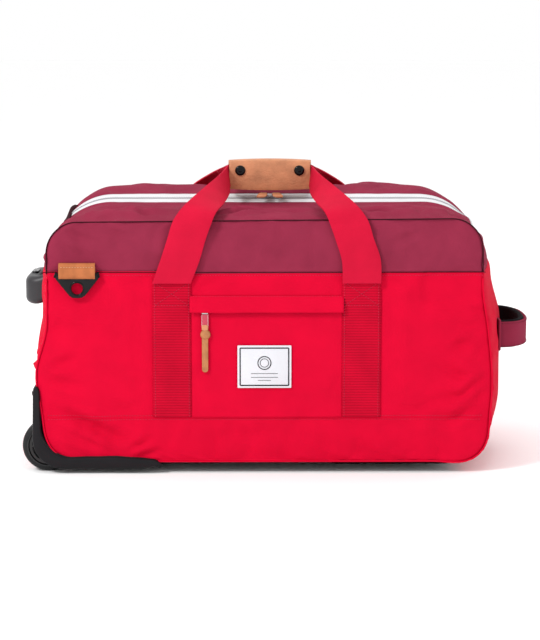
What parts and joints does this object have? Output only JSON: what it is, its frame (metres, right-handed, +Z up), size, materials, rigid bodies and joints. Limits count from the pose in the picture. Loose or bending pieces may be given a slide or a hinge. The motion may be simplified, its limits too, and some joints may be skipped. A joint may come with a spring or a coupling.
{
  "type": "rolling duffel bag",
  "caption": "Soft rolling duffel in two tones with a zipped top, webbing carrying straps in a leather grip, a front pocket, a padded end handle, corner wheels and a telescoping trolley.",
  "frame": {"origin": "centre of the whole box on the floor", "axes": "+Z up, +X from the wheel end to the grab handle end, -Y towards the front pocket"},
  "size_m": [0.685, 0.347, 0.399],
  "materials": {
    "maroon_fabric": "matte",
    "red_fabric": "matte",
    "black_fabric": "matte",
    "red_webbing": "matte",
    "tan_leather": "satin",
    "pink_tape": "matte",
    "zip_tape": "matte",
    "zip_coil": "satin",
    "slider_metal": "polished",
    "label_white": "satin",
    "black_metal": "gloss",
    "guard_plastic": "satin",
    "handle_plastic": "satin",
    "board_plastic": "matte",
    "tyre_rubber": "matte",
    "hub_plastic": "gloss",
    "steel": "satin",
    "tube_aluminium": "satin"
  },
  "bodies": {
    "bag": {"front_panel_upper": "maroon_fabric", "rear_panel_upper": "maroon_fabric", "top_panel_front": "maroon_fabric", "top_panel_rear": "maroon_fabric", "front_panel_lower": "red_fabric", "rear_panel_lower": "red_fabric", "left_end_panel": "red_fabric", "right_end_panel": "red_fabric", "pocket_panel": "red_fabric", "pocket_flap": "red_fabric", "base_panel": "black_fabric", "side_handle_anchors": "black_fabric", "sewn_webbing_front_left": "red_webbing", "sewn_webbing_front_right": "red_webbing", "sewn_webbing_rear_left": "red_webbing", "sewn_webbing_rear_right": "red_webbing", "ring_patches": "tan_leather", "zip_tape_front": "zip_tape", "zip_tape_rear": "zip_tape", "pocket_zip_tape": "zip_tape", "zip_chain": "zip_coil", "label": "label_white", "wheel_guard_front": "guard_plastic", "wheel_guard_rear": "guard_plastic", "skid_front": "guard_plastic", "skid_rear": "guard_plastic", "trolley_tray": "guard_plastic", "trolley_foot": "guard_plastic", "base_board": "board_plastic", "wheel_axles": "steel", "skid_screws": "steel", "trolley_outer_tubes": "tube_aluminium"},
    "wheel_front": {"tyre_front": "tyre_rubber", "hub_front": "hub_plastic", "bearing_front": "steel"},
    "wheel_rear": {"tyre_rear": "tyre_rubber", "hub_rear": "hub_plastic", "bearing_rear": "steel"},
    "trolley_1": {"trolley_stage_1": "tube_aluminium"},
    "trolley_2": {"trolley_stage_2": "tube_aluminium"},
    "trolley_3": {"trolley_stage_3": "tube_aluminium", "trolley_grip": "handle_plastic"},
    "button": {"release_button": "handle_plastic"},
    "top_slider_left": {"zip_slider_left": "slider_metal"},
    "top_slider_right": {"zip_slider_right": "slider_metal"},
    "top_pull_left": {"zip_pull_left": "tan_leather"},
    "top_pull_right": {"zip_pull_right": "tan_leather"},
    "front_slider": {"pocket_slider": "slider_metal"},
    "front_pull": {"pocket_pull_tape": "pink_tape", "pocket_pull_tail": "tan_leather"},
    "strap_ring_front": {"ring_plate_front": "black_metal"},
    "strap_ring_rear": {"ring_plate_rear": "black_metal"},
    "side_handle": {"side_handle_pad": "maroon_fabric", "side_handle_lining": "black_fabric"},
    "carry_handle": {"carry_strap_front": "red_webbing", "carry_strap_rear": "red_webbing", "grip_wrap": "tan_leather", "snap_studs": "black_metal"},
    "grip_cover": {"grip_flap": "tan_leather", "snap_caps": "black_metal"}
  },
  "joints": [
    {"name": "wheel_front_spin", "type": "hinge", "parent": "bag", "child": "wheel_front", "pos_m": [-0.304, -0.137, 0.034], "axis": [0, 1, 0], "continuous": true},
    {"name": "wheel_rear_spin", "type": "hinge", "parent": "bag", "child": "wheel_rear", "pos_m": [-0.304, 0.137, 0.034], "axis": [0, 1, 0], "continuous": true},
    {"name": "trolley_slide_1", "type": "slide", "parent": "bag", "child": "trolley_1", "axis": [0, 0, 1], "range_m": [0, 0.135]},
    {"name": "trolley_slide_2", "type": "slide", "parent": "trolley_1", "child": "trolley_2", "axis": [0, 0, 1], "range_m": [0, 0.135]},
    {"name": "trolley_slide_3", "type": "slide", "parent": "trolley_2", "child": "trolley_3", "axis": [0, 0, 1], "range_m": [0, 0.135]},
    {"name": "button_press", "type": "slide", "parent": "trolley_3", "child": "button", "axis": [0, 0, -1], "range_m": [0, 0.003], "stiffness_N_per_m": 300},
    {"name": "top_slider_left_slide", "type": "slide", "parent": "bag", "child": "top_slider_left", "axis": [1, 0, 0], "range_m": [-0.2, 0]},
    {"name": "top_slider_right_slide", "type": "slide", "parent": "bag", "child": "top_slider_right", "axis": [1, 0, 0], "range_m": [0, 0.2]},
    {"name": "top_pull_left_swivel", "type": "hinge", "parent": "top_slider_left", "child": "top_pull_left", "pos_m": [-0.018, -0.0089, 0.3516], "axis": [0, 0, 1], "range_deg": [-85, 0]},
    {"name": "top_pull_right_swivel", "type": "hinge", "parent": "top_slider_right", "child": "top_pull_right", "pos_m": [-0.004, -0.0089, 0.3516], "axis": [0, 0, 1], "range_deg": [0, 85]},
    {"name": "front_slider_slide", "type": "slide", "parent": "bag", "child": "front_slider", "axis": [1, 0, 0], "range_m": [0, 0.154]},
    {"name": "front_pull_swing", "type": "hinge", "parent": "front_slider", "child": "front_pull", "pos_m": [-0.096, -0.1706, 0.2095], "axis": [1, 0, 0], "range_deg": [-100, 0]},
    {"name": "strap_ring_front_swing", "type": "hinge", "parent": "bag", "child": "strap_ring_front", "pos_m": [-0.261, -0.1688, 0.263], "axis": [1, 0, 0], "range_deg": [-90, 0]},
    {"name": "strap_ring_rear_swing", "type": "hinge", "parent": "bag", "child": "strap_ring_rear", "pos_m": [0.223, 0.1688, 0.263], "axis": [1, 0, 0], "range_deg": [0, 90]},
    {"name": "side_handle_swing", "type": "hinge", "parent": "bag", "child": "side_handle", "pos_m": [0.307, 0, 0.171], "axis": [0, 1, 0], "range_deg": [-40, 40]},
    {"name": "carry_handle_lift", "type": "slide", "parent": "bag", "child": "carry_handle", "axis": [0, 0, 1], "range_m": [0, 0.025]},
    {"name": "grip_cover_open", "type": "hinge", "parent": "carry_handle", "child": "grip_cover", "pos_m": [-0.011, -0.0152, 0.362], "axis": [1, 0, 0], "range_deg": [0, 90]}
  ]
}
